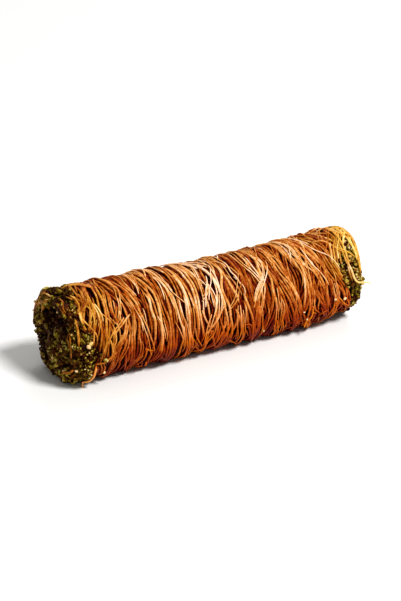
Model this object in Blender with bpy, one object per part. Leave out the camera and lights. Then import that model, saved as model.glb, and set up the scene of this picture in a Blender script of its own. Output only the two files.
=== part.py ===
"""A kadayif roll: fine shredded pastry wound round a filling of chopped pistachio.

Units are metres and +Z is up. The roll lies along X on its pressed-flat underside, at z = 0, and the
origin is at the bottom centre of its box. The -X end is the thicker one. Angles round the roll run from
+Y over the top to -Y and on underneath. The strands are wound at a slight lean, so their bands move
towards +X as the angle grows.
"""

import math

import bmesh
import bpy
from mathutils import Vector, noise

# Driving dimensions.
ROLL_LENGTH = 0.106  # over the nuts that bulge out of both ends
ROLL_DIAMETER = 0.028  # at the middle, before the underside is pressed flat
BORE_DIAMETER = 0.0176  # of the wound pastry, which the nuts fill
NUT_BULGE = 0.0016  # how far the nuts stand out past the rims
RIM_DEPTH = 0.0030  # length over which the side turns in to the bore at each rim
TAPER = 0.035  # growth of the radius at the -X end, and its loss at the +X end
BOW = 0.0008  # how far the middle of the roll is bent towards -Y
FLAT_DEPTH = 0.0009  # how much of the underside is pressed flat
FIT_GAP = 0.0003  # between the nuts and the pastry

# The unevenness of the hand-wound pastry.
SWELL = 0.00045  # slow swelling and thinning of the outline
SWELL_SIZE = 0.016
RIM_WANDER = 0.0006  # how unevenly the rims end
BANDS = (  # ridge spacing along the roll, how many ridges start round it, height of the ridge
    (0.0066, 3, 0.00040),
    (0.0049, 4, 0.00026),
)
BAND_WANDER = 1.7  # how far the ridges stray from a true helix, in radians of their wave

# The chopped nuts at each end.
NUT_LUMP = 0.0013
NUT_SIZE = 0.0034

# Mesh resolution.
AROUND = 44
STATIONS = 64
RIM_STEPS = 7
NUTS_AROUND = 30
NUT_RINGS = 6
SQUARENESS = 0.65  # of the rims' and nut mounds' sections: 1 is an ellipse, less is squarer

MEAN_RADIUS = ROLL_DIAMETER / 2
BORE_RADIUS = BORE_DIAMETER / 2
HALF_LENGTH = ROLL_LENGTH / 2
WRAP_HALF_LENGTH = HALF_LENGTH - NUT_BULGE


def clear_scene():
    for thing in list(bpy.data.objects):
        bpy.data.objects.remove(thing, do_unlink=True)


def make_material(name, colour, roughness):
    material = bpy.data.materials.new(name)
    material.use_nodes = True
    shader = material.node_tree.nodes["Principled BSDF"]
    shader.inputs["Base Color"].default_value = (*colour, 1.0)
    shader.inputs["Roughness"].default_value = roughness
    shader.inputs["Metallic"].default_value = 0.0
    return material


def squared(value):
    """A sine or cosine pushed outwards, which makes a round section squarer."""
    return math.copysign(abs(value) ** SQUARENESS, value)


def on_circle(x, angle, size):
    """A point for reading noise that closes on itself round the roll."""
    reach = MEAN_RADIUS / size
    return Vector((x / size, reach * math.cos(angle), reach * math.sin(angle)))


def winding_relief(x, angle):
    """Height of the bundled strands, which lie in leaning bands round the roll."""
    wander = BAND_WANDER * noise.noise(on_circle(x, angle, SWELL_SIZE))
    height = 0.0
    for spacing, starts, ridge in BANDS:
        height += ridge * math.sin(2 * math.pi * x / spacing - starts * angle + wander)
    return height


def middle_radius(x):
    return MEAN_RADIUS * (1 - TAPER * x / HALF_LENGTH)


def wrap_radius(x, angle):
    swell = SWELL * noise.noise(on_circle(x + ROLL_LENGTH, angle, SWELL_SIZE))
    return middle_radius(x) + 2 * swell + winding_relief(x, angle)


def axis_point(x):
    """The roll's bowed middle line, held level with its underside at z = 0."""
    bend = BOW * (1 - (x / HALF_LENGTH) ** 2)
    return Vector((x, -bend, middle_radius(x) - FLAT_DEPTH))


def surface_point(x, angle, radius):
    point = axis_point(x)
    point.y += radius * math.cos(angle)
    point.z = max(point.z + radius * math.sin(angle), 0.0)
    return point


def wrap_section():
    """The sleeve's section as (x, share of the wall) pairs, where 1 is outside and 0 is the bore."""
    side = WRAP_HALF_LENGTH - RIM_DEPTH
    outside = [(-side + 2 * side * i / STATIONS, 1.0) for i in range(STATIONS + 1)]
    rim = []
    for step in range(1, RIM_STEPS + 1):
        turn = math.pi * step / RIM_STEPS
        rim.append((side + RIM_DEPTH * squared(math.sin(turn)), 0.5 + 0.5 * squared(math.cos(turn))))
    bore_middle = [(0.0, 0.0)]
    other_rim = [(-x, share) for x, share in reversed(rim)]
    return outside + rim + bore_middle + other_rim


def wrap_ring(x, share):
    side = WRAP_HALF_LENGTH - RIM_DEPTH
    past_side = max(abs(x) - side, 0.0) / RIM_DEPTH
    ring = []
    for i in range(AROUND):
        angle = 2 * math.pi * i / AROUND
        wander = RIM_WANDER * past_side * noise.noise(on_circle(3 * x, angle, SWELL_SIZE / 2))
        outer = wrap_radius(x, angle)
        radius = BORE_RADIUS + share * (outer - BORE_RADIUS)
        ring.append(surface_point(x + math.copysign(wander, x), angle, radius))
    return ring


def nut_mound_ring(end, turn):
    """One ring of the lumpy mound of nuts at an end. turn runs from 0 at the bore to a right angle."""
    base = WRAP_HALF_LENGTH - RIM_DEPTH
    x = base + (HALF_LENGTH - base) * squared(math.sin(turn))
    radius = (BORE_RADIUS - FIT_GAP) * squared(math.cos(turn))
    ring = []
    for i in range(NUTS_AROUND):
        angle = 2 * math.pi * i / NUTS_AROUND
        spot = Vector((radius * math.cos(angle), radius * math.sin(angle), end * HALF_LENGTH)) / NUT_SIZE
        lump = NUT_LUMP * math.sin(turn) * (noise.noise(spot) - 0.3)
        ring.append(surface_point(end * (x + lump), angle, radius))
    return ring


def nut_core_ring():
    """The middle of the filling, where it bends with the bore."""
    angles = [2 * math.pi * i / NUTS_AROUND for i in range(NUTS_AROUND)]
    return [surface_point(0.0, angle, BORE_RADIUS - FIT_GAP) for angle in angles]


def nut_tip(end):
    point = axis_point(end * HALF_LENGTH)
    return Vector((end * (HALF_LENGTH - NUT_LUMP), point.y, point.z))


def add_ring(mesh, ring):
    return [mesh.verts.new(point) for point in ring]


def bridge(mesh, first, second):
    count = len(first)
    for i in range(count):
        j = (i + 1) % count
        mesh.faces.new((first[i], first[j], second[j], second[i]))


def close_with_fan(mesh, ring, tip):
    count = len(ring)
    for i in range(count):
        mesh.faces.new((ring[i], ring[(i + 1) % count], tip))


def finish_object(name, mesh, material):
    bmesh.ops.recalc_face_normals(mesh, faces=mesh.faces)
    data = bpy.data.meshes.new(name)
    mesh.to_mesh(data)
    mesh.free()
    data.shade_smooth()
    data.materials.append(material)
    piece = bpy.data.objects.new(name, data)
    bpy.context.scene.collection.objects.link(piece)
    return piece


def build_wrap():
    """The sleeve of wound pastry, out to its uneven outline."""
    mesh = bmesh.new()
    rings = [add_ring(mesh, wrap_ring(x, share)) for x, share in wrap_section()]
    for i, ring in enumerate(rings):
        bridge(mesh, ring, rings[(i + 1) % len(rings)])
    return finish_object("kadayif_wrap", mesh, make_material("baked_pastry", (0.45, 0.16, 0.035), 0.45))


def build_filling():
    """The chopped pistachio, which runs through the pastry and stands out in a mound at both ends."""
    mesh = bmesh.new()
    turns = [0.5 * math.pi * i / NUT_RINGS for i in range(NUT_RINGS)]
    low_mound = [nut_mound_ring(-1, turn) for turn in reversed(turns)]
    high_mound = [nut_mound_ring(1, turn) for turn in turns]
    rings = [add_ring(mesh, ring) for ring in low_mound + [nut_core_ring()] + high_mound]
    for first, second in zip(rings, rings[1:]):
        bridge(mesh, first, second)
    close_with_fan(mesh, rings[0], mesh.verts.new(nut_tip(-1)))
    close_with_fan(mesh, rings[-1], mesh.verts.new(nut_tip(1)))
    return finish_object("pistachio_filling", mesh, make_material("chopped_nuts", (0.10, 0.13, 0.02), 0.6))


def centre_over_origin(pieces):
    """Puts the origin under the middle of the whole roll's box. The underside is already at z = 0."""
    points = [vertex.co for piece in pieces for vertex in piece.data.vertices]
    for axis in (0, 1):
        low = min(point[axis] for point in points)
        high = max(point[axis] for point in points)
        for piece in pieces:
            piece.location[axis] = -(low + high) / 2


def main():
    clear_scene()
    centre_over_origin([build_wrap(), build_filling()])


main()
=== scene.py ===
"""The looks of the kadayif roll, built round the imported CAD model.

Strands of pastry are laid one by one on a height map of the roll, so that each rests on those already there.
The first ones only raise the map, which becomes the relief of the core. The rest are real tubes. The
chopped nuts are laid on the rims and the end faces in the same way. Metres, +Z up. Angles round the roll run
from +Y over the top to -Y and on underneath, and u runs along the outside from one bore to the other.
"""

import itertools
import math
from collections import namedtuple

import bmesh
import bpy
import numpy as np
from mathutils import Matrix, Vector
from mathutils.bvhtree import BVHTree


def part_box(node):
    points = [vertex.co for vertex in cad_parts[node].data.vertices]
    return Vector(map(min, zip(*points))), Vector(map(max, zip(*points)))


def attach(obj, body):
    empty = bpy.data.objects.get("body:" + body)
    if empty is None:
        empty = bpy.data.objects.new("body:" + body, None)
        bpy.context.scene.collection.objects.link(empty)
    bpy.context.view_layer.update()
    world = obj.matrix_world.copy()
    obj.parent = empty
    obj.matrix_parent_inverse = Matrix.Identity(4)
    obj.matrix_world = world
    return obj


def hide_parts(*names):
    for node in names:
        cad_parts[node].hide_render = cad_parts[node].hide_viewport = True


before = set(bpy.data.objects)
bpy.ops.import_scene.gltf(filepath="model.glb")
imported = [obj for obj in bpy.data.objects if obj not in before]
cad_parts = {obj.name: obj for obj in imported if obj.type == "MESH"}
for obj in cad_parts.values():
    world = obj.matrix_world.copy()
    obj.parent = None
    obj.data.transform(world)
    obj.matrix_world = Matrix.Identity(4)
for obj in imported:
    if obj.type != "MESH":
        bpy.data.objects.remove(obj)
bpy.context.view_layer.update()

MM = 0.001


def mm(*lengths):
    return tuple(length * MM for length in lengths)


# Seeds of the random numbers: for the side's maps, for what is laid on the side, and for the end faces.
MAP_SEED = 20
STRAND_SEED = 34
FACE_SEED = 1

# The roll's own sizes, from the frame.
WRAP_LOW, WRAP_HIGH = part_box("kadayif_wrap")
NUT_LOW, NUT_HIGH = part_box("pistachio_filling")
AXIS_Y = (NUT_LOW.y + NUT_HIGH.y) / 2
AXIS_Z = (NUT_LOW.z + NUT_HIGH.z) / 2
MIDDLE_X = (WRAP_LOW.x + WRAP_HIGH.x) / 2
HALF_WRAP = (WRAP_HIGH.x - WRAP_LOW.x) / 2
WRAP_RADIUS = (WRAP_HIGH.z - WRAP_LOW.z) / 2
BORE_RADIUS = (NUT_HIGH.z - NUT_LOW.z) / 2
LOWEST = 0.02 * MM  # where the pressed underside rests

# The height maps.
CELL = 0.16 * MM
CAST_CELL = 0.5 * MM  # of the coarse grid on which the side's CAD outline is found
SIDE_CAST = 6 * MM  # how far off the outline is looked for, at the side and at the ends
END_CAST = 4 * MM
RIM_CORNER = 2.4 * MM  # radius by which the side turns into the rim
RIM_OVERLAP = 1.2 * MM  # how far past the bore the maps of the ends reach
RIM_FACE = WRAP_RADIUS - RIM_CORNER - BORE_RADIUS - RIM_OVERLAP  # width of the flat part of the rim
CORNER = HALF_WRAP - RIM_CORNER  # the u where the +X rim's corner starts
SIDE_END = CORNER + RIM_CORNER * math.pi / 2 + RIM_FACE  # the u where the side's map ends
FACE_REACH = BORE_RADIUS + RIM_OVERLAP + 0.6 * MM  # half the width of an end's map
FACE_BLUR = 5 * MM  # over which the dips of an end's CAD outline are filled
FACE_SPLAY = 0.5  # how far the way out of an end's map leans outwards at its edge
EDGE_GAP = 0.5 * MM  # which strands keep free at both edges of the side's map
CORE_DEPTH = 2.1 * MM  # how far below the outline the first strands are laid
LEVEL_BLUR = 3 * MM  # over which the heights are averaged that depths are counted from

# The +X end is full at its top and drawn in below its front: by how many mm, at which angle, and how widely.
FULL_TOP = (1.7, 95, 42)
DRAWN_IN = (1.3, 232, 38)

# Strands of pastry, with the least and the most of their radii.
FINE = mm(0.22, 0.33)
MIXED = mm(0.25, 0.45)
WISPY = mm(0.15, 0.23)
LOOPY = mm(0.20, 0.38)
CORE_STRIDE = 3  # cells from each point of the core to the next
CORE_TONE = -0.3
STRAND_STEP = 0.95 * MM  # from each point of a strand to the next
SHORTEST = 6  # points of a strand
STRAND_SIDES = 6
STRAND_WIDTH = 1.12  # times its height
REST_REACH = 2  # cells each way in which a strand feels what it rests on
TAUT_REACH = 3  # points each way over which it bridges a dip
PRESSED = 0.75  # share of what would pass the surface above it that is pressed in
LEAN_SPREAD = 2.5  # degrees
LEAN_SIZE = 14 * MM  # from one patch of a different lean to the next

# By the share of the way from the middle to the side's +X end: how many degrees the strands lean, and how
# loosely their bundles cross one another.
LEAN = {-0.9: 2.0, -0.55: 2.0, -0.15: 0.0, 0.15: 1.0, 0.45: 5.0, 0.9: 8.0}
DISORDER = {-0.5: 0.65, 0.0: 1.1, 0.7: 1.8}

# Layers of strands, laid in loose bundles: the surface they are kept under (see Roll) and the height above
# it in mm, their total length in metres, the strands in a bundle, their length in mm, the spread of the
# bundles' lean in degrees, the gap between strands in mm and their radii. Then, if they aren't as in
# lay_bundles, how many degrees a bundle curls, and the ranges of u and of angles where it is laid.
RELIEF_LAYER = ("coated", -1.0, 22.0, (3, 7), (35, 120), 8, (0.55, 0.8), FINE)
UNDER_LAYER = ("coated", -0.45, 14.0, (3, 7), (35, 120), 8, (0.65, 0.95), FINE)
OUTER_LAYERS = (
    ("open", 0.2, 4.2, (3, 6), (25, 95), 8, (0.62, 0.82), MIXED),
    ("open", 0.1, 1.8, (2, 5), (15, 60), 6, (0.62, 0.9), MIXED, 8, (8 * MM, CORNER - 3 * MM)),
    ("open", 0.35, 3.6, (1, 4), (18, 80), 12, (1.0, 2.0), MIXED),
)
WISPY_LAYERS = (
    ("open", 0.4, 3.2, (1, 3), (6, 24), 18, (0.4, 1.1), WISPY, 14),
    ("flat", 0.5, 0.9, (1, 3), (7, 22), 26, (0.5, 1.1), FINE, 22, (5 * MM - CORNER, 15 * MM - CORNER)),
    ("full", 0.5, 0.5, (1, 3), (7, 20), 16, (0.5, 1.0), FINE, 20, (CORNER - 9 * MM, CORNER - MM), (45, 125)),
    ("open", 0.4, 0.3, (1, 2), (5, 12), 16, (0.5, 1.1), WISPY, 22, (-CORNER, CORNER), (195, 235)),
    ("open", 0.4, 0.3, (1, 2), (5, 12), 16, (0.5, 1.1), WISPY, 22, (-CORNER, CORNER), (305, 345)),
)
STRAY_LAYERS = (
    ("open", 0.5, 1.0, (1, 2), (8, 26), 12, (0.9, 1.5), WISPY, 12),
    ("open", 0.5, 0.8, (1, 3), (8, 24), 15, (0.7, 1.3), WISPY, 16, (2 * MM, CORNER - 5 * MM)),
)

# Ribbons of strands that run round the rims: the end, how many there, strands in a ribbon, the angles where
# they start, how many degrees they run on, how many mm past the corner's start they lie, and their tone.
RIM_LOOPS = (
    (1, 6, (1, 2), (0, 360), (70, 200), (1.4, 2.6), 0.8),
    (1, 4, (2, 3), (20, 60), (60, 100), (-2.0, 2.0), 0.8),
    (1, 6, (1, 2), (0, 360), (50, 160), (-5.0, -2.6), 0.5),
    (1, 5, (1, 2), (0, 360), (25, 70), (2.8, 4.6), 0.3),
    (1, 4, (2, 3), (40, 75), (85, 125), (1.7, 2.6), 0.9),
    (-1, 3, (1, 2), (70, 110), (70, 110), (-4.0, -1.8), 1.3),
    (-1, 7, (1, 3), (0, 360), (50, 120), (-5.0, -1.5), 0.6),
    (-1, 4, (1, 2), (70, 190), (35, 65), (1.0, 3.0), -0.6),
    (-1, 3, (1, 1), (200, 360), (40, 90), (1.5, 3.5), -0.6),
    (-1, 5, (1, 2), (-15, 25), (55, 95), (1.4, 3.2), 1.8),
)
RIBBON_GAP = 0.7 * MM  # between the strands of a ribbon

# Strands with an end that strays from the roll: the u and the angle where it leaves, the length before that,
# where the end goes from there, the radius and the tone.
LOOSE_ENDS = (
    (CORNER - 0.3 * MM, 174.0, 10 * MM, mm(4.9, -0.8, -0.8), 0.30 * MM, -0.8),
    (2.8 * MM - CORNER, 228.0, 7 * MM, mm(-1.0, -0.5, -2.8), 0.34 * MM, 0.6),
    (31 * MM, 212.0, 6 * MM, mm(-1.9, -0.5, -2.2), 0.24 * MM, 0.6),
)

# Chopped nuts: how far along the side they reach from each rim's corner, at the least and at the front,
# and how raggedly.
NUT_REACH = {-1: mm(4.5, 4.5), 1: mm(1.6, 3.9)}
NUT_FRONT = 158  # the angle at which they reach farthest
NUT_FRONT_WIDTH = 42
NUT_RAGGED = {-1: 1.8 * MM, 1: 1.3 * MM}
NUT_EDGE = 0.8 * MM  # over which their cover thins out
NUT_COAT = 1.1 * MM  # thickness of the nuts' coat on the rims and the side
NUT_CLEAR = 3 * MM  # how far the outer strands keep below the outline where nuts cover it
FAR_SHARE = 0.6  # of the coat and of the clearance, which the +X end has
NUT_HEAP = 1.5 * MM  # depth of loose nuts over the relief of each end's mound
HOLLOWS = {  # sunk places of each end's mound: y and z from its middle, radius and depth
    -1: (mm(3.0, 6.0, 4.5, 2.6), mm(-2.0, 7.5, 3.5, 1.6), mm(7.0, -1.0, 3.5, 1.5)),
    1: (mm(-2.5, -3.5, 4.0, 1.8), mm(4.5, 4.0, 3.0, 1.4)),
}
NUT_SHAPES = {"chips": (12, 14, 0.06), "bits": (10, 12, 0.0)}  # how many, their corners and their bevel

# Nuts on the side: the kind, the end, the surface they are kept under and the height above it in mm, how
# many, the least and the most of their size in mm, and what is added to their tone.
FAR_NUTS = (
    ("chips", 1, "full", 0.1, 300, (1.2, 2.6), 0.3),
    ("bits", 1, "full", 0.1, 1200, (0.5, 1.3), 0.35),
)
NEAR_NUTS = (
    ("chips", -1, "lumpy", 0.0, 560, (1.2, 3.0), 0.0),
    ("bits", -1, "lumpy", 0.1, 1900, (0.5, 1.3), 0.0),
)
LAST_NUTS = (
    ("bits", -1, "flat", 0.6, 260, (0.6, 1.5), 0.0),
    ("bits", 1, "full", 0.5, 120, (0.6, 1.4), 0.25),
)
FACE_RELIEF = (260, (1.2, 2.4))  # nuts that only raise an end's map: how many, and their size in mm
FACE_NUTS = (("chips", 150, (1.2, 3.0)), ("bits", 700, (0.5, 1.3)))
FACE_LIGHTER = {-1: 0.0, 1: 0.18}
MOUND_RINGS = 40
MOUND_AROUND = 150
NUT_CORE_TONE = 0.3
PALE_BITS = (  # cream pieces caught on the side: x in mm, angle and size in mm
    (-47.5, 170, 2.0),
    (-44.0, 208, 1.7),
    (-41.0, 213, 1.3),
    (-50.5, 205, 1.2),
    (-50.8, 30, 1.5),
    (44.5, 192, 1.3),
    (41.0, 190, 1.3),
    (31.0, 208, 1.0),
    (29.5, 196, 1.1),
    (16.0, 214, 1.1),
)
PALE_TONE = 1.6

# Stage.
CAMERA_AZIMUTH = -29.0
CAMERA_ELEVATION = 25.6
CAMERA_AWAY = 1.405
LENS = 269.0  # mm
LAMPS = (("key", 25, 55, 0.25, 8.5), ("back", 140, 45, 0.5, 2.0))  # azimuth, elevation, width, power
LAMP_AWAY = 0.9
FLOOR_HALF = 1.5


# Noise and small sums


def blurred(field, size):
    """field blurred over this size in metres, closing on itself both ways."""
    spectrum = np.fft.rfft2(field)
    rows = np.fft.fftfreq(field.shape[0])[:, None] * (size / CELL)
    columns = np.fft.rfftfreq(field.shape[1])[None, :] * (size / CELL)
    spectrum *= np.exp(-0.5 * math.pi**2 * (rows**2 + columns**2))
    return np.fft.irfft2(spectrum, s=field.shape)


def eased(values, times):
    """values averaged with their neighbours, this many times over."""
    for _ in range(times):
        padded = np.pad(values, 1, mode="edge")
        values = (padded[:-2] + 2 * padded[1:-1] + padded[2:]) / 4
    return values


def wander(rng, count, size, spread):
    """A smooth random line of count values, whose bends are size values long."""
    knots = rng.normal(size=max(int(count / size), 1) + 4)
    last = len(knots) - 1
    places = np.linspace(0, last - 3, count) + 1
    low = places.astype(int)
    t = places - low
    a, b = knots[low - 1], knots[low]
    c, d = knots[np.minimum(low + 1, last)], knots[np.minimum(low + 2, last)]
    return spread * (b + 0.5 * t * (c - a + t * (2 * a - 5 * b + 4 * c - d + t * (3 * (b - c) + d - a))))


def closing(values, reach):
    """values with narrow dips filled, as a taut strand bridges them. reach is half their width."""
    for sign in (1, -1):
        padded = np.pad(sign * values, reach, mode="edge")
        values = sign * np.lib.stride_tricks.sliding_window_view(padded, 2 * reach + 1).max(1)
    return values


def smoothstep(values, low, high):
    t = np.clip((values - low) / (high - low), 0, 1)
    return t * t * (3 - 2 * t)


def bell(degrees, height, middle, width):
    return height * np.exp(-(((degrees - middle) / width) ** 2))


def units(vectors):
    return vectors / np.linalg.norm(vectors, axis=-1)[..., None]


# Skins: the surfaces that strands and nuts are laid on


def nearby(reach):
    """Steps to the cells within reach each way."""
    return itertools.product(range(-reach, reach + 1), repeat=2)


class Skin:
    """Places on the roll with an outward direction each, and how far what is laid there stands out.

    A place is named by two coordinates: (u, angle) on the side, (y, z) on an end.
    """

    def __init__(self, place, out, steps, origin, closed):
        self.place = place
        self.out = out
        self.steps = steps
        self.origin = origin
        self.closed = closed
        self.height = np.zeros(place.shape[:2])
        self.room = (place[..., 2] - LOWEST) / np.maximum(-out[..., 2], 0.05)  # how far the floor is

    def at(self, i, j):
        """The place of a cell. cells is the reverse."""
        return self.origin[0] + i * self.steps[0], self.origin[1] + j * self.steps[1]

    def cells(self, a, b):
        return (a - self.origin[0]) / self.steps[0], (b - self.origin[1]) / self.steps[1]

    def grid(self):
        rows, columns = self.height.shape
        return np.meshgrid(*self.at(np.arange(rows), np.arange(columns)), indexing="ij")

    def noise(self, rng, size):
        """Smooth noise of this size in metres, with a spread of 1."""
        field = blurred(rng.normal(size=self.height.shape), size)
        return (field - field.mean()) / field.std()

    def wrapped(self, i, j):
        rows, columns = self.height.shape
        j = np.mod(j, columns) if self.closed else np.clip(j, 0, columns - 1)
        return np.clip(i, 0, rows - 1), j

    def read(self, field, a, b):
        """field at these places, read between its cells."""
        i, j = self.cells(a, b)
        low_i, low_j = np.floor(i).astype(int), np.floor(j).astype(int)
        fi, fj = i - low_i, j - low_j
        if field.ndim == 3:
            fi, fj = fi[..., None], fj[..., None]
        total = 0.0
        for di, wi in ((0, 1 - fi), (1, fi)):
            for dj, wj in ((0, 1 - fj), (1, fj)):
                total = total + field[self.wrapped(low_i + di, low_j + dj)] * wi * wj
        return total

    def point(self, a, b, height):
        return self.read(self.place, a, b) + self.read(self.out, a, b) * np.asarray(height)[..., None]

    def top(self, a, b, reach):
        """The highest thing already laid within reach cells of each place."""
        i, j = (np.rint(x).astype(int) for x in self.cells(a, b))
        best = np.full(np.shape(a), -np.inf)
        for di, dj in nearby(reach):
            if di * di + dj * dj <= reach * reach + 1:
                best = np.maximum(best, self.height[self.wrapped(i + di, j + dj)])
        return best

    def lay(self, a, b, height, radius):
        """Raises the map under a round thing of this radius at each place."""
        fi, fj = self.cells(a, b)
        i, j = np.rint(fi).astype(int), np.rint(fj).astype(int)
        for di, dj in nearby(int(np.ceil(radius / CELL))):
            away = ((i + di - fi) ** 2 + (j + dj - fj) ** 2) * CELL * CELL
            inside = away < radius**2
            if inside.any():
                rows, columns = self.wrapped(i + di, j + dj)
                crown = height + np.sqrt(np.maximum(radius**2 - away, 0))
                np.maximum.at(self.height, (rows[inside], columns[inside]), crown[inside])

    def drop(self, a, b, radius, thick, cap):
        """Lays one grain on the map, half sunk between those already there. Returns its height."""
        fi, fj = self.cells(a, b)
        reach = int(np.ceil(radius / CELL))
        spread = np.arange(-reach, reach + 1)
        i, j = np.meshgrid(int(round(fi)) + spread, int(round(fj)) + spread, indexing="ij")
        away = np.hypot(i - fi, j - fj) * CELL / radius
        inside = away < 1
        cells, away = self.wrapped(i[inside], j[inside]), away[inside]
        under = self.height[cells]
        near = under[away < 0.75]
        height = min(0.5 * (near.mean() + near.max()) + 0.45 * thick, cap)
        self.height[cells] = np.maximum(under, height + thick * np.sqrt(1 - away**2))
        return height


def bvh_of(*nodes):
    points, faces = [], []
    for node in nodes:
        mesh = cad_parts[node].data
        faces += [tuple(k + len(points) for k in p.vertices) for p in mesh.polygons]
        points += [v.co.copy() for v in mesh.vertices]
    return BVHTree.FromPolygons(points, faces)


def cast_onto(tree, starts, directions, reach):
    """Where rays from starts meet the solid, or the point reach along them where they miss it."""
    found = starts + directions * reach
    for spot in np.ndindex(found.shape[:-1]):
        hit = tree.ray_cast(Vector(starts[spot]), Vector(directions[spot]), 2 * reach)[0]
        if hit is not None:
            found[spot] = hit
    return found


def side_section(u):
    """Where u lies along the roll, how far in from its outline, and the way out there, along and across."""
    past = np.abs(u) - CORNER
    turn = np.clip(past / RIM_CORNER, 0, math.pi / 2)
    beyond = np.maximum(past - RIM_CORNER * math.pi / 2, 0)
    x = np.where(past > 0, CORNER + RIM_CORNER * np.sin(turn), np.abs(u))
    inset = RIM_CORNER * (1 - np.cos(turn)) + beyond
    return MIDDLE_X + np.sign(u) * x, inset, np.sign(u) * np.sin(turn), np.cos(turn)


def side_grid(cell):
    """The steps of a grid of such cells over the side, and the u and the angle of each of them."""
    rows, columns = int(2 * SIDE_END / cell), int(2 * math.pi * WRAP_RADIUS / cell)
    angles = np.arange(columns) * 2 * math.pi / columns
    steps = (2 * SIDE_END / (rows - 1), 2 * math.pi / columns)
    return steps, np.meshgrid(np.linspace(-SIDE_END, SIDE_END, rows), angles, indexing="ij")


def make_side_skin():
    """The wrap's outside, from one bore over the rim, along the side and over the other rim."""
    steps, (u, angle) = side_grid(CAST_CELL)
    x, inset, ahead, outward = side_section(u)
    across = np.stack([np.zeros_like(angle), np.cos(angle), np.sin(angle)], -1)
    axis = np.stack([x, np.full_like(x, AXIS_Y), np.full_like(x, AXIS_Z)], -1)
    ideal = axis + across * (WRAP_RADIUS - inset)[..., None]
    out = across * outward[..., None]
    out[..., 0] = ahead
    place = cast_onto(bvh_of("kadayif_wrap"), ideal + out * SIDE_CAST, -out, SIDE_CAST)
    coarse = Skin(place, out, steps, (-SIDE_END, 0.0), True)
    steps, spots = side_grid(CELL)
    return Skin(coarse.read(place, *spots), coarse.read(out, *spots), steps, (-SIDE_END, 0.0), True)


def make_end_skin(end):
    """The mound of nuts at one end, out to just past the bore. end is -1 or 1."""
    places = np.arange(int(2 * FACE_REACH / CELL)) * CELL
    y, z = np.meshgrid(AXIS_Y - FACE_REACH + places, AXIS_Z - FACE_REACH + places, indexing="ij")
    start = np.stack([np.full_like(y, end * (NUT_HIGH.x + END_CAST)), y, z], -1)
    way = np.zeros_like(start)
    way[..., 0] = -end
    place = cast_onto(bvh_of("pistachio_filling", "kadayif_wrap"), start, way, END_CAST)
    ahead = end * place[..., 0]
    place[..., 0] = end * np.maximum(ahead, blurred(ahead, FACE_BLUR))
    aside, up = FACE_SPLAY * (y - AXIS_Y) / FACE_REACH, FACE_SPLAY * (z - AXIS_Z) / FACE_REACH
    out = units(np.stack([np.full_like(y, end), aside, up], -1))
    return Skin(place, out, (CELL, CELL), (AXIS_Y - FACE_REACH, AXIS_Z - FACE_REACH), False)


def hollows(rng, face, end):
    """How far an end's mound is sunk at each place. Its lumps are negative."""
    y, z = face.grid()
    sunk = 0.65 * MM * face.noise(rng, 3.5 * MM)
    for across, up, radius, depth in HOLLOWS[end]:
        away = np.hypot(y - AXIS_Y - across, z - AXIS_Z - up) / radius
        sunk += depth * np.exp(-(away**3))
    return np.maximum(sunk, -1.2 * MM)


# The roll's side


class Roll:
    """The side of the roll, its maps, and the surfaces under which strands and nuts are laid on it.

    full is the outline, with the +X end's own shape, and flat is without that. coated leaves room for the
    nuts, and open keeps well below them. lumpy is the top of the nuts at the -X end.
    """

    def __init__(self, rng):
        maps = np.random.default_rng(MAP_SEED)
        self.rng = rng
        self.skin = make_side_skin()
        self.leans = lean_map(maps, self.skin)
        self.cover = {end: nut_cover(maps, self.skin, end) for end in (-1, 1)}
        self.tint = tint_map(maps, self.skin)
        full = end_shape(self.skin)
        near, far = self.cover[-1], self.cover[1]
        self.surfaces = {
            "flat": np.zeros_like(full),
            "full": full,
            "coated": full - NUT_COAT * near - FAR_SHARE * NUT_COAT * far,
            "open": full - NUT_CLEAR * np.maximum(near, FAR_SHARE * far),
        }
        self.skin.height -= CORE_DEPTH

    def lay_strands(self, *layers):
        strands = []
        for surface, height, *layer in layers:
            cap = self.surfaces[surface] + height * MM
            strands += lay_bundles(self.rng, self.skin, self.leans, cap, *layer)
        return strands

    def lay_nuts(self, nuts, rows):
        for kind, end, surface, height, count, size, lighter in rows:
            cap = self.surfaces[surface] + height * MM
            kinds = NUT_SHAPES[kind][0]
            nuts[kind] += lay_grains(self.rng, self.skin, self.cover[end], cap, count, size, kinds, lighter)

    def heap_near_nuts(self):
        """Sets the lumpy surface."""
        u, _ = self.skin.grid()
        lumps = 0.55 * MM * np.clip(self.skin.noise(self.rng, 3 * MM), -1.6, 1.6)
        lumps -= 0.5 * MM * smoothstep(-u, CORNER - 2 * MM, CORNER + 1 * MM)
        self.surfaces["lumpy"] = lumps


def end_shape(skin):
    """How far the strands stand out at the +X end."""
    u, angle = skin.grid()
    full = bell(np.degrees(angle), *FULL_TOP) - bell(np.degrees(angle), *DRAWN_IN)
    return full * MM * smoothstep(u, CORNER - 12 * MM, CORNER - 1 * MM)


def tint_map(rng, skin):
    """How far the nuts' green has stained the strands: most at the +X rim, less at the -X one."""
    u, angle = skin.grid()
    ragged = 2.5 * MM * skin.noise(rng, 5 * MM)
    on_top = bell(np.degrees(angle), 1, 105, 55)
    right = smoothstep(1.3 * ragged + u + 3.5 * MM * on_top, CORNER - 7 * MM, CORNER + 2 * MM)
    left = smoothstep(1.5 * ragged - u, CORNER - 16 * MM, CORNER - 5 * MM)
    return np.maximum(right, 0.65 * left)


def nut_cover(rng, skin, end):
    """How fully the nuts cover each place of the side near one end: 0 is bare, 1 is covered."""
    u, angle = skin.grid()
    least, front = NUT_REACH[end]
    reach = least + bell(np.degrees(angle), front - least, NUT_FRONT, NUT_FRONT_WIDTH)
    ragged = NUT_RAGGED[end] * skin.noise(rng, 5 * MM)
    ragged += 0.6 * MM * skin.noise(rng, 1.5 * MM)
    return smoothstep(end * u - CORNER + reach + ragged, -NUT_EDGE, NUT_EDGE)


# Strands


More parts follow.
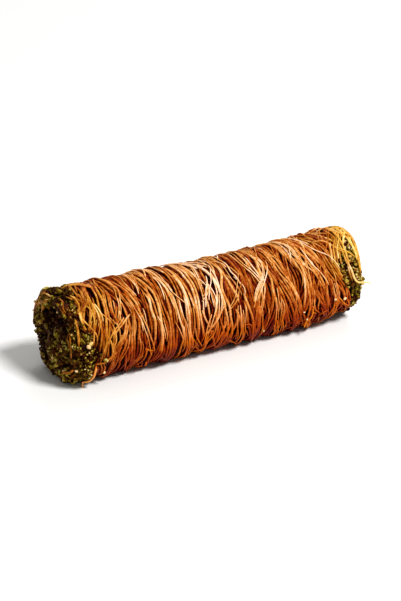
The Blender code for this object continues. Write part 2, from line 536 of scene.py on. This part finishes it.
# A strand: its path on the skin, its height above it and its radius at each point, and its tone. lift is
# how far its points are moved off that path, as (x, y, z).
Strand = namedtuple("Strand", "u angle height radius tone lift", defaults=(0.0,))


def by_share(table, u):
    """The number of LEAN or DISORDER at each u."""
    return np.interp(u / SIDE_END, list(table), list(table.values()))


def lean_map(rng, skin):
    u, _ = skin.grid()
    return by_share(LEAN, u) + LEAN_SPREAD * skin.noise(rng, LEAN_SIZE)


def lowest_places(rng, skin, cap, count):
    """Places among the emptiest of the skin, as (u, angle) arrays."""
    block = 8
    rows, columns = (n // block for n in skin.height.shape)
    room = (cap - skin.height)[: rows * block, : columns * block]
    room = room.reshape(rows, block, columns, block).mean((1, 3))
    room += rng.uniform(0, 0.15 * MM, room.shape)
    best = np.argsort(room.ravel())[-count * 3 :: 3][:count]
    i = (best // columns + rng.uniform(0, 1, len(best))) * block
    j = (best % columns + rng.uniform(0, 1, len(best))) * block
    return skin.at(i, j)


def half_paths(skin, leans, u, angle, bends, way):
    """Paths from each place round the roll, forwards or backwards, that follow the lean there."""
    path = []
    for bend in bends:
        turn = np.radians(skin.read(leans, u, angle) + bend)
        step = way * STRAND_STEP * np.sin(turn)
        room = np.clip((SIDE_END - 0.6 * MM - np.abs(u)) / (4 * MM), -1, 1)
        u = u + np.where(step * u > 0, step * room, step)
        angle = angle + way * STRAND_STEP * np.cos(turn) / (WRAP_RADIUS - side_section(u)[1])
        path.append((u, angle))
    return path


def guide_paths(rng, skin, leans, u, angle, steps, extra_lean, curl):
    """Paths through these places, turned from the lean there by extra_lean degrees and a changing curl.

    The result is read as (u or angle, point, place).
    """
    half = steps // 2
    bends = extra_lean + np.stack([wander(rng, 2 * half, 9, curl) for _ in u], 1)
    ahead = half_paths(skin, leans, u, angle, bends[half:], 1)
    behind = half_paths(skin, leans, u, angle, bends[:half][::-1], -1)
    return np.stack(behind[::-1] + [(u, angle)] + ahead, 1)


def lay_strand(rng, skin, u, angle, radius, tone, cap, bury):
    """Rests a strand on what is already laid, sunk in by bury times its radius, and raises the map."""
    base = skin.top(u, angle, REST_REACH)
    height = eased(closing(base, TAUT_REACH), 2) + radius * (1 - bury)
    height = np.maximum(height, base + radius * (0.7 - bury))
    height -= PRESSED * np.maximum(height + radius - skin.read(cap, u, angle), 0)
    height = np.minimum(height, skin.read(skin.room, u, angle) - radius)
    every = np.arange(len(u))
    from_end = np.minimum(every, every[::-1])
    height -= radius * 0.9 * np.exp(-from_end / 1.3)  # the ends are tucked in
    fine = np.linspace(0, len(u) - 1, len(u) * 5)
    skin.lay(*(np.interp(fine, every, line) for line in (u, angle, height)), radius)
    swell = 1 + wander(rng, len(u), 5, 0.10)
    taper = np.where(from_end == 0, 0.75, 1.0)
    return Strand(u, angle, height, radius * swell * taper, tone)


def bundle_path(rng, skin, leans, cap, steps, turn, curl, along, around):
    """The emptiest of a few paths that a bundle may take, as its u and its angle."""
    if along:
        u, angle = rng.uniform(*along, 3), rng.uniform(*np.radians(around), 3)
    else:
        u, angle = lowest_places(rng, skin, cap, 3)
        u = np.append(u, rng.uniform(EDGE_GAP - SIDE_END, SIDE_END - EDGE_GAP, 3))
        angle = np.append(angle, rng.uniform(0, 2 * math.pi, 3))
    turned = np.clip(rng.normal(), -1.7, 1.7) * turn * by_share(DISORDER, u)
    guides = guide_paths(rng, skin, leans, u, angle, steps, turned, curl)
    filled = (skin.read(skin.height, *guides) - skin.read(cap, *guides)).mean(0)
    return guides[..., int(np.argmin(filled))]


def lay_bundles(
    rng, skin, leans, cap, total, members, length, turn, gap, radii, curl=6, along=None, around=(0, 360)
):
    """Lays one layer of strands: in the emptiest places of the whole roll, unless along says where."""
    strands = []
    laid = 0.0
    while laid < total:
        count = int(rng.integers(*members, endpoint=True))
        steps = max(int(rng.uniform(*mm(*length)) / STRAND_STEP), SHORTEST)
        guide_u, guide_angle = bundle_path(rng, skin, leans, cap, steps, turn, curl, along, around)
        steps = len(guide_u)
        bundle_tone = rng.normal() * 0.9
        spacing = rng.uniform(*mm(*gap))
        for k in range(count):
            first = int(steps * rng.uniform(0, 0.3))
            last = steps - int(steps * rng.uniform(0, 0.3))
            n = last - first
            aside = (k - 0.5 * (count - 1)) * spacing * (1 + wander(rng, n, 18, 0.35))
            aside = aside + wander(rng, n, 8, 0.32 * MM) + wander(rng, n, 3, 0.11 * MM)
            u = np.clip(guide_u[first:last] + aside, EDGE_GAP - SIDE_END, SIDE_END - EDGE_GAP)
            radius = rng.uniform(*radii)
            tone = bundle_tone + rng.normal() * 0.45
            strands.append(lay_strand(rng, skin, u, guide_angle[first:last], radius, tone, cap, 0.3))
            laid += n * STRAND_STEP
    return strands


def lay_rim_loops(rng, skin, cap, end, count, members, starts, arc, past, tone):
    """Lays one row of RIM_LOOPS."""
    loops = []
    radius_there = WRAP_RADIUS - 1 * MM
    for _ in range(count):
        n = int(math.radians(rng.uniform(*arc)) * radius_there / STRAND_STEP)
        angle = math.radians(rng.uniform(*starts)) + np.arange(n) * STRAND_STEP / radius_there
        middle = rng.uniform(*mm(*past)) + wander(rng, n, 7, 1.0 * MM)
        ribbon_tone = tone + rng.normal() * 0.8
        for k in range(int(rng.integers(*members, endpoint=True))):
            aside = RIBBON_GAP * k * (1 + wander(rng, n, 7, 0.6)) + wander(rng, n, 4, 0.25 * MM)
            u = end * np.minimum(CORNER + middle + aside, SIDE_END - 0.3 * MM)
            part = slice(int(n * rng.uniform(0, 0.35)), n - int(n * rng.uniform(0, 0.35)))
            radius = rng.uniform(*LOOPY)
            strand_tone = ribbon_tone + rng.normal() * 0.4
            loops.append(lay_strand(rng, skin, u[part], angle[part], radius, strand_tone, cap, 0.35))
    return loops


def loose_end(rng, skin, u, degrees, before, stray, radius, tone):
    """The strand of one row of LOOSE_ENDS."""
    length = before + math.dist(stray, (0, 0, 0))
    n = int(length / (0.5 * STRAND_STEP))
    run = np.linspace(-before, length - before, n)
    free = eased(np.maximum(run, 0) / (length - before), 7)
    angle = math.radians(degrees) + eased(np.minimum(run, 0), 7) / WRAP_RADIUS
    along = u + math.copysign(2.4 * MM, stray[0]) * np.tanh(np.minimum(run, 0) / (4 * MM))
    along += wander(rng, n, 10, 0.3 * MM)
    height = np.full(n, skin.top(along, angle, REST_REACH)[run > -2 * MM].max() + 0.4 * radius)
    height -= 3 * radius * smoothstep(-run, before - 3 * MM, before)
    lift = free[:, None] * np.array(stray)
    lift[:, 2] += 0.5 * MM * np.sin(math.pi * free)
    return Strand(along, angle, height, radius * (1 - 0.5 * free) * (1 + wander(rng, n, 4, 0.15)), tone, lift)


# Nuts


# A piece of nut: its middle, its half axes as rows, its shape's number, its tone and its depth in mm, which
# the nuts' material darkens as painted shade.
Grain = namedtuple("Grain", "centre axes shape tone depth")


def turned_axes(rng, out, half, tilt):
    """Three axes as long as the grain's half sizes, the last near out, spun and tilted at random."""
    helper = np.array([0.0, 0.0, 1.0]) if abs(out[2]) < 0.8 else np.array([0.0, 1.0, 0.0])
    first = units(np.cross(helper, out))
    up = units(out + math.tan(math.radians(tilt)) * rng.uniform(0, 1) * first)
    spin = rng.uniform(0, 2 * math.pi)
    first = units(np.cross(helper, up))
    ahead = math.cos(spin) * first + math.sin(spin) * np.cross(up, first)
    aside = np.cross(up, ahead)
    return np.stack([ahead * half[0], aside * half[1], up * half[2]])


def lay_grains(rng, skin, share, cap, count, size, kinds, lighter=0.0):
    """Drops count grains of several kinds where share is high, each on the emptiest of three places."""
    chance = np.cumsum(share.ravel())
    grains = []
    for _ in range(count):
        picks = np.searchsorted(chance, rng.uniform(0, chance[-1], 3))
        rows, columns = np.unravel_index(picks, share.shape)
        room = cap[rows, columns] - skin.height[rows, columns]
        k = int(np.argmax(room))
        place = skin.at(rows[k] + rng.uniform(-0.5, 0.5), columns[k] + rng.uniform(-0.5, 0.5))
        half = 0.5 * rng.uniform(*mm(*size))
        axes = half * np.array([1.0, rng.uniform(0.65, 0.95), rng.uniform(0.45, 0.8)])
        limit = min(cap[rows[k], columns[k]], skin.room[rows[k], columns[k]] - axes[2])
        height = skin.drop(*place, half * 0.85, axes[2], limit)
        turned = turned_axes(rng, skin.read(skin.out, *place), axes, 35.0)
        tone = min(rng.uniform() + lighter, 1.0)
        grains.append(Grain(skin.point(*place, height), turned, int(rng.integers(kinds)), tone, -height / MM))
    return grains


def pale_grains(rng, skin):
    grains = []
    for x, degrees, size in PALE_BITS:
        place = (x * MM - MIDDLE_X, math.radians(degrees))
        half = 0.5 * (size * MM) * np.array([1.0, 0.85, 0.75])
        height = skin.top(*place, REST_REACH) + 0.2 * half[2]
        axes = turned_axes(rng, skin.read(skin.out, *place), half, 30.0)
        shape = int(rng.integers(NUT_SHAPES["chips"][0]))
        grains.append(Grain(skin.point(*place, height), axes, shape, PALE_TONE, -height / MM))
    return grains


def chopped_shapes(rng, count, corners, bevel):
    """Templates of chopped nut about 2 across: hulls of random points, as (points, faces, map)."""
    shapes = []
    for _ in range(count):
        mesh = bmesh.new()
        ways = units(rng.normal(size=(corners, 3)))
        for way in ways * rng.uniform(0.8, 1.05, (corners, 1)):
            mesh.verts.new(way)
        hull = bmesh.ops.convex_hull(mesh, input=mesh.verts)
        inner = [v for v in hull["geom_interior"] if isinstance(v, bmesh.types.BMVert)]
        bmesh.ops.delete(mesh, geom=inner, context="VERTS")
        bmesh.ops.dissolve_limit(mesh, angle_limit=math.radians(12), verts=mesh.verts, edges=mesh.edges)
        if bevel:
            bmesh.ops.bevel(mesh, geom=mesh.edges[:], offset=bevel, segments=1, affect="EDGES")
        bmesh.ops.triangulate(mesh, faces=mesh.faces)
        bmesh.ops.recalc_face_normals(mesh, faces=mesh.faces)
        mesh.verts.ensure_lookup_table()
        points = np.array([v.co[:] for v in mesh.verts])
        faces = np.array([[v.index for v in f.verts] for f in mesh.faces])
        mesh.free()
        shapes.append((points, faces, ball_map(points, faces)))
    return shapes


def ball_map(points, faces):
    """Places in a unit cell for each face's corners: the upper half's at its left, the lower one's right."""
    ways = units(points)
    upper = ways[faces].mean(1)[:, 2] >= 0
    corner = ways[faces].copy()
    corner[~upper, :, 2] *= -1
    reach = np.arccos(np.clip(corner[..., 2], -1, 1)) / (math.pi / 2)
    flat = np.hypot(corner[..., 0], corner[..., 1]) + 1e-9
    across = np.where(upper[:, None], 0.25, 0.75) + 0.17 * reach * corner[..., 0] / flat
    return np.stack([across, 0.5 + 0.34 * reach * corner[..., 1] / flat], -1)


def heap_end_nuts(rng, end, nuts):
    """Heaps nuts on the mound at one end. Returns the end, its skin and the relief of its core."""
    face = make_end_skin(end)
    y, z = face.grid()
    radius = np.hypot(y - AXIS_Y, z - AXIS_Z)
    rim = BORE_RADIUS + RIM_OVERLAP
    middle = smoothstep(radius, rim + 0.4 * MM, rim - 0.6 * MM)
    sunk = hollows(rng, face, end)
    face.height -= NUT_HEAP + np.maximum(sunk, 0)
    cap = 0.3 * MM - sunk - 1.6 * MM * smoothstep(radius, BORE_RADIUS - 1.5 * MM, rim)
    lay_grains(rng, face, middle, cap - 0.8 * MM, *FACE_RELIEF, 1)
    relief = face.height.copy()
    for kind, count, size in FACE_NUTS:
        kinds = NUT_SHAPES[kind][0]
        nuts[kind] += lay_grains(rng, face, middle, cap, count, size, kinds, FACE_LIGHTER[end])
    return end, face, relief


# Meshes


# A part of a mesh: its points, arrays of faces, the place of each of their corners on the map for baking, and
# numbers by name, each the same all over it or given at every point.
Part = namedtuple("Part", "points faces uv numbers")


def add_object(name, data):
    thing = bpy.data.objects.new(name, data)
    bpy.context.scene.collection.objects.link(thing)
    return thing


def mesh_object(name, parts):
    """One smooth mesh of all the parts, kept above the floor."""
    points = np.concatenate([part.points for part in parts])
    points[:, 2] = np.maximum(points[:, 2], LOWEST)
    faces = []
    start = 0
    for part in parts:
        for rows in part.faces:
            faces += (rows + start).tolist()
        start += len(part.points)
    mesh = bpy.data.meshes.new(name)
    mesh.from_pydata(points.tolist(), [], faces)
    for key in parts[0].numbers:
        numbers = np.concatenate([np.broadcast_to(part.numbers[key], len(part.points)) for part in parts])
        layer = mesh.attributes.new(key, "FLOAT", "POINT")
        layer.data.foreach_set("value", numbers.astype(np.float32))
    uv = np.concatenate([part.uv for part in parts])
    layer = mesh.uv_layers.new(name="OFBake")
    layer.data.foreach_set("uv", uv.astype(np.float32).ravel())
    mesh.shade_smooth()
    return add_object(name, mesh)


def grid_faces(rows, columns, closed):
    """Quads over rows of points that each close on themselves, and the row and column of each corner.

    Where closed is true, the last row is joined to the first one too.
    """
    i, k = np.meshgrid(np.arange(rows if closed else rows - 1), np.arange(columns), indexing="ij")
    next_i, next_k = (i + 1) % rows, (k + 1) % columns
    quads = [i * columns + k, i * columns + next_k, next_i * columns + next_k, next_i * columns + k]
    corners = [np.stack(corner, -1) for corner in ((i, k), (i, k + 1), (i + 1, k + 1), (i + 1, k))]
    return np.stack(quads, -1).reshape(-1, 4), np.stack(corners, 2).reshape(-1, 2)


def tipped_grid(rows, columns):
    """grid_faces of an open grid with both ends closed on tips, whose points come last. Rows count from 1."""
    quads, corners = grid_faces(rows, columns, False)
    tips, tip_corners = [], []
    for row, tip, beyond in ((0, rows * columns, -0.6), (rows - 1, rows * columns + 1, rows - 0.4)):
        for k in range(columns):
            pair = (k, k + 1) if row else (k + 1, k)
            tips.append([row * columns + p % columns for p in pair] + [tip])
            tip_corners += [(row, p) for p in pair] + [(beyond, k + 0.5)]
    return (quads, np.array(tips)), np.concatenate([corners, tip_corners]) + (1, 0)


def with_tips(numbers):
    """Numbers of a grid's points, followed by those of its tips."""
    return np.append(numbers.ravel(), numbers[[0, -1], 0])


def strips(lengths):
    """A row of the map for each strand, its start there and its share of the row. Also counts the rows."""
    capacity = 1.1 * max(lengths)
    rows = []
    spots = [None] * len(lengths)
    for k in sorted(range(len(lengths)), key=lambda k: -lengths[k]):
        for row, used in enumerate(rows):
            if used + lengths[k] * 1.02 <= capacity:
                break
        else:
            row = len(rows)
            rows.append(0.0)
        spots[k] = (row, rows[row] / capacity, lengths[k] / capacity)
        rows[row] += lengths[k] * 1.02
    return spots, len(rows)


def tube_points(centre, out, radius, around):
    """The points of a tube round this middle line, ring by ring, and its two tips."""
    along = units(np.gradient(centre, axis=0))
    out = units(out - along * (out * along).sum(1)[:, None])
    side = np.cross(along, out)
    across = np.cos(around)[None, :, None] * out[:, None]
    across = across + STRAND_WIDTH * np.sin(around)[None, :, None] * side[:, None]
    rings = centre[:, None] + radius[:, None, None] * across
    tips = [centre[0] - along[0] * radius[0] * 0.3, centre[-1] + along[-1] * radius[-1] * 0.3]
    return np.concatenate([rings.reshape(-1, 3), tips])


def tube_piece(name, skin, strands, level, tint):
    """All the strands as closed tubes in one mesh."""
    around = np.arange(STRAND_SIDES) * 2 * math.pi / STRAND_SIDES
    spots, rows = strips([len(s.u) for s in strands])
    parts = []
    for strand, (row, start, width) in zip(strands, spots):
        place = (strand.u, strand.angle)
        centre = skin.point(*place, strand.height) + strand.lift
        points = tube_points(centre, skin.read(skin.out, *place), strand.radius, around)
        n = len(centre)
        faces, corners = tipped_grid(n, STRAND_SIDES)
        across = start + width * corners[:, 0] / (n + 1)
        up = (row + 0.1 + 0.8 * corners[:, 1] / STRAND_SIDES) / rows
        # The depth below the local level, which the material darkens as painted shade in the gaps; the inner
        # side of each strand counts deeper, as painted shade underneath it.
        depth = (skin.read(level, *place) - strand.height)[:, None]
        depth = depth - 0.5 * strand.radius[:, None] * np.cos(around)[None, :]
        stained = np.repeat(skin.read(tint, *place)[:, None], STRAND_SIDES, 1)
        numbers = {"depth": with_tips(depth) / MM, "tone": strand.tone, "tint": with_tips(stained)}
        parts.append(Part(points, faces, np.stack([across, up], -1), numbers))
    return mesh_object(name, parts)


def core_piece(name, skin, heights, level, tint):
    """The map itself as a closed ring, whose relief is the strands that aren't made as tubes."""
    rows = np.arange(0, skin.height.shape[0], CORE_STRIDE)
    columns = np.arange(0, skin.height.shape[1] - CORE_STRIDE // 2, CORE_STRIDE)
    grid = np.ix_(rows, columns)
    points = skin.place[grid] + skin.out[grid] * heights[grid][..., None]
    quads, corners = grid_faces(len(rows), len(columns), True)
    uv = corners / (len(rows), len(columns))
    # The depth below the local level, which the material darkens as painted shade.
    numbers = {"depth": (level - heights)[grid].ravel() / MM, "tone": CORE_TONE, "tint": tint[grid].ravel()}
    return mesh_object(name, [Part(points.reshape(-1, 3), [quads], uv, numbers)])


def mound_rings(end, skin, heights):
    """Rings of points over one end's mound, from -X to +X, and their depth in mm, darkened as painted shade.
    """
    radii = np.linspace(0.1 * MM, BORE_RADIUS + RIM_OVERLAP + 0.3 * MM, MOUND_RINGS)[::-end]
    angles = np.arange(MOUND_AROUND) * 2 * math.pi / MOUND_AROUND
    radius, angle = np.meshgrid(radii, angles, indexing="ij")
    y, z = AXIS_Y + radius * np.cos(angle), AXIS_Z + radius * np.sin(angle)
    height = skin.read(heights, y, z)
    return skin.point(y, z, height), -height / MM


def nut_core_piece(name, ends):
    """The filling: the relief of both mounds, with a plain sleeve through the roll between them."""
    points, depth = (np.concatenate(both) for both in zip(*[mound_rings(*end) for end in ends]))
    rings, around = depth.shape
    faces, corners = tipped_grid(rings, around)
    points = np.concatenate([points.reshape(-1, 3), [points[0].mean(0), points[-1].mean(0)]])
    numbers = {"depth": with_tips(depth), "tone": NUT_CORE_TONE}
    return mesh_object(name, [Part(points, faces, corners / (rings + 1, around), numbers)])


def grain_piece(name, grains, shapes):
    """All the grains in one mesh, each with its own cell of the map."""
    side = math.ceil(math.sqrt(len(grains)))
    parts = []
    for number, grain in enumerate(grains):
        points, faces, corners = shapes[grain.shape]
        uv = (corners.reshape(-1, 2) + (number % side, number // side)) / side
        numbers = {"tone": grain.tone, "depth": grain.depth}
        parts.append(Part(grain.centre + points @ grain.axes, [faces], uv, numbers))
    return mesh_object(name, parts)


# Materials


# The sockets of a Mix node that mix colours.
MIX_FACTOR, MIX_FIRST, MIX_SECOND = 0, 6, 7
MIX_RESULT = 2


class Nodes:
    """Builds a material's node tree."""

    def __init__(self, name):
        self.material = bpy.data.materials.new(name)
        self.material.use_nodes = True
        self.tree = self.material.node_tree
        self.shader = self.tree.nodes["Principled BSDF"]

    def give(self, socket, value):
        if isinstance(value, bpy.types.NodeSocket):
            self.tree.links.new(value, socket)
        else:
            socket.default_value = value

    def add(self, kind, inputs, **settings):
        node = self.tree.nodes.new(kind)
        for key, value in settings.items():
            setattr(node, key, value)
        for key, value in inputs.items():
            self.give(node.inputs[key], value)
        return node

    def attribute(self, name):
        return self.add("ShaderNodeAttribute", {}, attribute_name=name).outputs["Fac"]

    def math(self, operation, *values):
        return self.add("ShaderNodeMath", dict(enumerate(values)), operation=operation).outputs[0]

    def sum(self, *terms):
        total = terms[0]
        for term in terms[1:]:
            total = self.math("ADD", total, term)
        return total

    def scaled(self, value, factor, centre=0.0):
        return self.math("MULTIPLY", self.math("SUBTRACT", value, centre), factor)

    def where(self):
        return self.add("ShaderNodeTexCoord", {}).outputs["Object"]

    def place(self, axis):
        return self.add("ShaderNodeSeparateXYZ", {"Vector": self.where()}).outputs[axis]

    def noise(self, size, detail=3.0):
        """Noise from about 0.3 to 0.7 with features of this size in metres."""
        inputs = {"Vector": self.where(), "Scale": 1 / size, "Detail": detail, "Roughness": 0.55}
        return self.add("ShaderNodeTexNoise", inputs).outputs["Fac"]

    def above_zero(self, value, softness):
        """value where it is above zero, eased in over softness."""
        return self.math("SMOOTH_MAX", value, 0.0, softness)

    def within(self, value, high=1.0):
        """value held between 0 and high."""
        return self.math("MINIMUM", self.math("MAXIMUM", value, 0.0), high)

    def ramp(self, factor, stops):
        node = self.add("ShaderNodeValToRGB", {"Fac": factor})
        elements = node.color_ramp.elements
        while len(elements) < len(stops):
            elements.new(0.5)
        for element, (position, colour) in zip(elements, stops):
            element.position = position
            element.color = (*colour, 1.0)
        return node.outputs["Color"]

    def mix(self, factor, first, second, blend="MIX"):
        inputs = {MIX_FACTOR: factor, MIX_FIRST: first, MIX_SECOND: second}
        node = self.add("ShaderNodeMix", inputs, data_type="RGBA", blend_type=blend)
        return node.outputs[MIX_RESULT]

    def set(self, **inputs):
        for key, value in inputs.items():
            self.give(self.shader.inputs[key.replace("_", " ")], value)

    def bump(self, height, strength, distance):
        node = self.add("ShaderNodeBump", {"Height": height, "Strength": strength, "Distance": distance})
        self.tree.links.new(node.outputs["Normal"], self.shader.inputs["Normal"])


# Pastry colours by level, plain and stained: the darkest stops are painted shade deep in the gaps, and the
# palest is partly a painted highlight on proud strands.
PASTRY_COLOURS = (
    (0.0, (0.050, 0.0015, 0.0001)),
    (0.25, (0.165, 0.011, 0.0002)),
    (0.5, (0.365, 0.086, 0.0035)),
    (0.75, (0.63, 0.270, 0.060)),
    (1.0, (0.88, 0.53, 0.27)),
)
STAINED_COLOURS = (
    (0.0, (0.060, 0.006, 0.0002)),
    (0.25, (0.17, 0.040, 0.001)),
    (0.5, (0.36, 0.150, 0.009)),
    (0.75, (0.65, 0.350, 0.055)),
    (1.0, (0.89, 0.60, 0.22)),
)
SHEEN = (1.0, 1.24, 1.85, 1.0)  # the pastry's colour under painted sheen and in the painted shade low down, as shares of its own
LOW_SHADE = (0.76, 0.36, 0.03, 1.0)
NUT_COLOURS = (
    (0.0, (0.014, 0.0015, 0.0002)),
    (0.22, (0.046, 0.011, 0.0008)),
    (0.45, (0.105, 0.046, 0.003)),
    (0.66, (0.19, 0.128, 0.009)),
    (0.84, (0.41, 0.34, 0.042)),
    (0.98, (0.82, 0.60, 0.32)),
)
ROASTED_COLOURS = (
    (0.0, (0.014, 0.0010, 0.0001)),
    (0.3, (0.070, 0.010, 0.0006)),
    (0.55, (0.17, 0.050, 0.004)),
    (0.8, (0.36, 0.165, 0.030)),
    (1.0, (0.74, 0.46, 0.20)),
)


def pastry_material():
    """Baked strands: golden where they stand proud, red-brown as painted shade deep down, underneath and
    towards -X.

    They have a painted sheen in patches and in a band along the upper front, are olive where the nuts stain
    them, and are darker and more saturated low down as painted shade.
    """
    nodes = Nodes("baked_pastry")
    x, z = nodes.place("X"), nodes.place("Z")
    depth, tint = nodes.attribute("depth"), nodes.attribute("tint")
    # Painted shade underneath: deep places low down are darkened further.
    under = nodes.above_zero(nodes.scaled(z, -1 / (8 * MM), 8 * MM), 0.3)
    # Painted shade towards the -X end: the strands are darker there, and have less painted sheen.
    away_from_shaded_end = nodes.within(nodes.scaled(x, 1 / (11 * MM), -35 * MM))
    level = nodes.sum(
        # Painted shade: the deeper a strand lies, the darker it is.
        nodes.scaled(depth, -0.70),
        nodes.math("MULTIPLY", under, nodes.scaled(depth, -0.7, -0.6)),
        nodes.scaled(nodes.attribute("tone"), 0.11),
        nodes.scaled(away_from_shaded_end, 0.16, 1.0),
        nodes.scaled(nodes.noise(7 * MM, 2.0), 0.32, 0.5),
        nodes.scaled(nodes.noise(1.6 * MM), 0.6, 0.5),
        nodes.scaled(nodes.noise(0.45 * MM), 0.5, 0.5),
        0.56,
    )
    colour = nodes.ramp(level, PASTRY_COLOURS)
    # Painted sheen: the colour paled and pinkened as a soft reflection would, in patches and in a band along
    # the upper front, mostly on proud strands and less towards -X.
    sheened = nodes.mix(1.0, colour, SHEEN, "MULTIPLY")
    sheen_patches = nodes.above_zero(nodes.scaled(nodes.noise(5 * MM), 3.2, 0.51), 0.2)
    from_band = nodes.scaled(z, 1 / (6 * MM), 23 * MM)
    sheen_band = nodes.math("SUBTRACT", 1.0, nodes.math("MULTIPLY", from_band, from_band))
    sheen_band = nodes.scaled(nodes.math("MAXIMUM", sheen_band, 0.0), 0.6)
    sheen = nodes.within(nodes.sum(sheen_patches, sheen_band), 0.75)
    sheen = nodes.math("MULTIPLY", sheen, nodes.scaled(away_from_shaded_end, 0.7, -0.4))
    colour = nodes.mix(nodes.math("MULTIPLY", sheen, nodes.within(level)), colour, sheened)
    colour = nodes.mix(tint, colour, nodes.ramp(level, STAINED_COLOURS))
    # Painted shade low down: darker and more saturated below the middle, less so where the nuts stain the
    # strands.
    shaded_low = nodes.mix(1.0, colour, LOW_SHADE, "MULTIPLY")
    low = nodes.within(nodes.scaled(z, -1 / (10 * MM), 19 * MM))
    plain = nodes.scaled(tint, -0.6, 1.667)
    colour = nodes.mix(nodes.math("MULTIPLY", low, plain), colour, shaded_low)
    nodes.set(Base_Color=colour, Roughness=0.38, Specular_IOR_Level=0.08)
    nodes.bump(nodes.sum(nodes.noise(0.7 * MM), nodes.scaled(nodes.noise(0.25 * MM), 0.5)), 0.6, 0.15 * MM)
    return nodes.material


def nut_material():
    """Chopped pistachio: dark roasted skins, olive flesh and a few fresh yellow-green or tan cuts."""
    nodes = Nodes("chopped_nuts")
    level = nodes.sum(
        nodes.scaled(nodes.attribute("tone"), 0.7),
        nodes.scaled(nodes.noise(3.0 * MM, 2.0), 0.9, 0.5),
        nodes.scaled(nodes.noise(0.7 * MM), 0.6, 0.5),
        # Painted shade: the deeper a piece lies in the heap, the darker it is.
        nodes.scaled(nodes.attribute("depth"), -0.16),
        0.13,
    )
    roasted = nodes.above_zero(nodes.scaled(nodes.noise(2.4 * MM), 5.0, 0.485), 0.2)
    roasted = nodes.math("MINIMUM", roasted, 0.8)
    colour = nodes.mix(roasted, nodes.ramp(level, NUT_COLOURS), nodes.ramp(level, ROASTED_COLOURS))
    nodes.set(Base_Color=colour, Roughness=0.45, Specular_IOR_Level=0.07)
    nodes.bump(nodes.sum(nodes.noise(0.9 * MM), nodes.scaled(nodes.noise(0.3 * MM), 0.6)), 0.8, 0.25 * MM)
    return nodes.material


# Stage


def face_roll(name, data, azimuth, elevation, away, height=0.0):
    """Adds a camera or a lamp that faces the roll. Azimuth 0 is at its front, and grows towards +X."""
    a, e = math.radians(azimuth), math.radians(elevation)
    way = Vector((math.sin(a) * math.cos(e), -math.cos(a) * math.cos(e), math.sin(e)))
    thing = add_object(name, data)
    thing.location = Vector((0, 0, height)) + way * away
    thing.rotation_euler = way.to_track_quat("Z", "Y").to_euler()
    return thing


def make_camera():
    data = bpy.data.cameras.new("camera")
    data.lens = LENS
    data.clip_start = 0.05
    data.clip_end = 20
    camera = face_roll("camera", data, CAMERA_AZIMUTH, CAMERA_ELEVATION, CAMERA_AWAY, WRAP_HIGH.z / 2)
    bpy.context.scene.camera = camera


def make_lights():
    world = bpy.data.worlds.new("studio")
    world.use_nodes = True
    backdrop = world.node_tree.nodes["Background"]
    backdrop.inputs["Color"].default_value = (1.0, 0.99, 0.97, 1.0)
    backdrop.inputs["Strength"].default_value = 0.35
    bpy.context.scene.world = world
    for name, azimuth, elevation, size, power in LAMPS:
        light = bpy.data.lights.new(name, "AREA")
        light.shape = "DISK"
        light.size = size
        light.energy = power
        face_roll(name, light, azimuth, elevation, LAMP_AWAY)


def make_floor():
    corners = [(x * FLOOR_HALF, y * FLOOR_HALF, 0) for x, y in ((-1, -1), (1, -1), (1, 1), (-1, 1))]
    mesh = bpy.data.meshes.new("floor")
    mesh.from_pydata(corners, [], [(0, 1, 2, 3)])
    nodes = Nodes("pale_floor")
    nodes.set(Base_Color=(0.74, 0.74, 0.73, 1.0), Roughness=0.75)
    mesh.materials.append(nodes.material)
    floor = add_object("floor", mesh)


# The whole roll


def build_side(nuts):
    """Lays all that is on the side. Returns the roll, the core's relief, and each piece's strands by name."""
    rng = np.random.default_rng(STRAND_SEED)
    roll = Roll(rng)
    roll.lay_strands(RELIEF_LAYER)
    relief = roll.skin.height.copy()
    strands = {"strands_under": roll.lay_strands(UNDER_LAYER)}
    shapes = {kind: chopped_shapes(rng, *numbers) for kind, numbers in NUT_SHAPES.items()}
    roll.lay_nuts(nuts, FAR_NUTS)
    strands["strands_outer"] = roll.lay_strands(*OUTER_LAYERS)
    strands["strands_wispy"] = roll.lay_strands(*WISPY_LAYERS)
    roll.heap_near_nuts()
    roll.lay_nuts(nuts, NEAR_NUTS)
    cap = roll.surfaces["full"] + 0.4 * MM
    loops = [loop for row in RIM_LOOPS for loop in lay_rim_loops(rng, roll.skin, cap, *row)]
    roll.lay_nuts(nuts, LAST_NUTS)
    strands["strands_stray"] = roll.lay_strands(*STRAY_LAYERS)
    strands["strands_stray"] += [loose_end(rng, roll.skin, *row) for row in LOOSE_ENDS]
    strands["rim_loops"] = loops
    nuts["chips"] += pale_grains(rng, roll.skin)
    return roll, relief, strands, shapes


def main():
    bpy.context.scene.view_settings.view_transform = "Standard"
    bpy.context.scene.view_settings.look = "Medium High Contrast"
    make_camera()
    make_lights()
    make_floor()
    nuts = {"chips": [], "bits": []}
    roll, relief, strands, shapes = build_side(nuts)
    face_rng = np.random.default_rng(FACE_SEED)
    ends = [heap_end_nuts(face_rng, end, nuts) for end in (-1, 1)]

    level = blurred(roll.skin.height, LEVEL_BLUR)
    core = core_piece("pastry_core", roll.skin, relief, level, roll.tint)
    pieces = [core]
    for name, laid in strands.items():
        pieces.append(tube_piece(name, roll.skin, laid, level, roll.tint))
    pastry = pastry_material()
    for piece in pieces:
        piece.data.materials.append(pastry)
        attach(piece, "root")
    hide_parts("kadayif_wrap")

    nut_core = nut_core_piece("nut_core", ends)
    chips = grain_piece("nut_chips", nuts["chips"], shapes["chips"])
    bits = grain_piece("nut_bits", nuts["bits"], shapes["bits"])
    chopped = nut_material()
    for piece in (nut_core, chips, bits):
        piece.data.materials.append(chopped)
        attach(piece, "root")
    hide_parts("pistachio_filling")


main()
